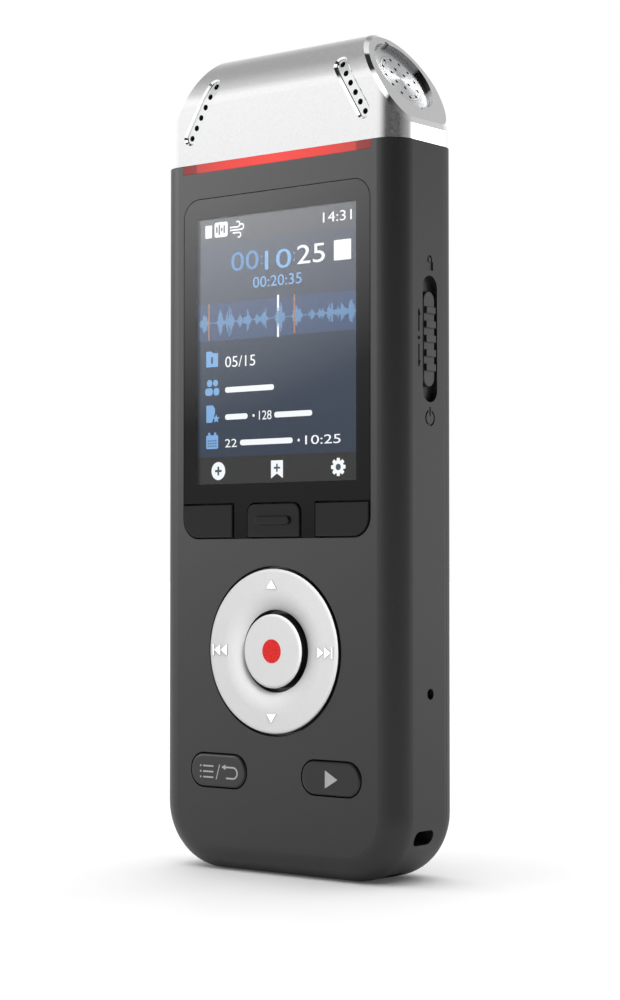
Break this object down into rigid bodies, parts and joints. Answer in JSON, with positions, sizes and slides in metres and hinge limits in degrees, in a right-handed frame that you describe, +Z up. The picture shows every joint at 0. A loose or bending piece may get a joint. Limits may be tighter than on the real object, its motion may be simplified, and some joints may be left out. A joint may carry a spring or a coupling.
{
  "type": "handheld voice recorder",
  "caption": "Upright pocket voice recorder with a full-width metal microphone head, large display, softkeys, tilting navigation ring, record key and a side hold slide.",
  "frame": {"origin": "middle of the flat lower end that the recorder stands on", "axes": "+Z up along the recorder's length, -Y out of the display, +X to the user's right"},
  "size_m": [0.0463, 0.0167, 0.1254],
  "materials": {
    "soft_touch_plastic": "soft-touch matte",
    "rear_plastic": "fine matte",
    "satin_aluminium": "satin",
    "spun_steel": "radially brushed",
    "chrome_trim": "polished",
    "lens_acrylic": "clear gloss with a dark printed border",
    "lcd_panel": "lit display",
    "white_film": "satin",
    "key_plastic": "gloss",
    "white_ring_plastic": "satin",
    "record_plastic": "satin",
    "red_plastic": "gloss",
    "status_red": "translucent, lit",
    "board_laminate": "solder mask",
    "chip_resin": "moulded",
    "steel_sheet": "rolled",
    "silicone": "matte",
    "black_rubber": "matte",
    "foam": "open cell",
    "felt": "woven",
    "black_nylon": "moulded",
    "amber_film": "polyimide film",
    "cell_pouch": "laminated foil",
    "adhesive": "tacky",
    "nickel": "plated",
    "lead_insulation": "smooth",
    "screw_steel": "black oxide",
    "led_package": "moulded"
  },
  "bodies": {
    "housing": {"front_cover": "soft_touch_plastic", "rear_cover": "rear_plastic", "head_cap": "satin_aluminium", "end_disc_right": "spun_steel", "end_disc_left": "spun_steel", "slot_grille_right": "chrome_trim", "slot_grille_left": "chrome_trim", "slot_felts": "felt", "microphone_capsules": "steel_sheet", "microphone_boots": "black_rubber", "head_frame": "black_nylon", "status_light": "status_red", "status_leds": "led_package", "light_board": "board_laminate", "display_lens": "lens_acrylic", "lens_adhesive": "adhesive", "display_panel": "lcd_panel", "backlight": "white_film", "display_tray": "steel_sheet", "display_pad": "foam", "display_flex": "amber_film", "flex_socket": "black_nylon", "key_domes": "nickel", "key_mat": "silicone", "slide_switch": "black_nylon", "reset_switch": "black_nylon", "main_board": "board_laminate", "processor": "chip_resin", "memory_chip": "chip_resin", "shield_can": "steel_sheet", "audio_codec": "chip_resin", "battery": "cell_pouch", "battery_tape": "adhesive", "battery_connector": "black_nylon", "battery_lead": "lead_insulation", "speaker": "steel_sheet", "speaker_gasket": "foam", "speaker_mesh": "felt", "speaker_contacts": "nickel", "usb_socket": "steel_sheet", "usb_tongue": "black_nylon", "headphone_jack": "black_nylon", "microphone_jack": "black_nylon", "card_socket": "steel_sheet", "cover_screws": "screw_steel", "board_screws": "screw_steel", "head_screws": "screw_steel"},
    "softkey_left": {"softkey_left": "key_plastic"},
    "softkey_middle": {"softkey_middle": "key_plastic"},
    "softkey_right": {"softkey_right": "key_plastic"},
    "menu_key": {"menu_button": "key_plastic"},
    "play_key": {"play_button": "key_plastic"},
    "gimbal": {"nav_gimbal": "steel_sheet"},
    "ring": {"nav_ring": "white_ring_plastic"},
    "record_key": {"record_button": "record_plastic", "record_dot": "red_plastic"},
    "slider": {"slider_knob": "key_plastic", "switch_actuator": "black_nylon"},
    "reset_key": {"reset_plunger": "black_nylon"}
  },
  "joints": [
    {"name": "softkey_left_press", "type": "slide", "parent": "housing", "child": "softkey_left", "axis": [0, 1, 0], "range_m": [0, 0.0003], "stiffness_N_per_m": 4000},
    {"name": "softkey_middle_press", "type": "slide", "parent": "housing", "child": "softkey_middle", "axis": [0, 1, 0], "range_m": [0, 0.0003], "stiffness_N_per_m": 4000},
    {"name": "softkey_right_press", "type": "slide", "parent": "housing", "child": "softkey_right", "axis": [0, 1, 0], "range_m": [0, 0.0003], "stiffness_N_per_m": 4000},
    {"name": "menu_press", "type": "slide", "parent": "housing", "child": "menu_key", "axis": [0, 1, 0], "range_m": [0, 0.0003], "stiffness_N_per_m": 4000},
    {"name": "play_press", "type": "slide", "parent": "housing", "child": "play_key", "axis": [0, 1, 0], "range_m": [0, 0.0003], "stiffness_N_per_m": 4000},
    {"name": "record_press", "type": "slide", "parent": "housing", "child": "record_key", "axis": [0, 1, 0], "range_m": [0, 0.0003], "stiffness_N_per_m": 4000},
    {"name": "ring_tilt_up_down", "type": "hinge", "parent": "housing", "child": "gimbal", "pos_m": [0, -0.00466, 0.03346], "axis": [1, 0, 0], "range_deg": [-1.2, 1.2], "stiffness_Nm_per_rad": 1},
    {"name": "ring_tilt_side", "type": "hinge", "parent": "gimbal", "child": "ring", "pos_m": [0, -0.00496, 0.03346], "axis": [0, 0, 1], "range_deg": [-1.2, 1.2], "stiffness_Nm_per_rad": 1},
    {"name": "power_hold_slide", "type": "slide", "parent": "housing", "child": "slider", "axis": [0, 0, 1], "range_m": [-0.002, 0.002]},
    {"name": "reset_press", "type": "slide", "parent": "housing", "child": "reset_key", "axis": [-1, 0, 0], "range_m": [0, 0.00025], "stiffness_N_per_m": 1500}
  ]
}
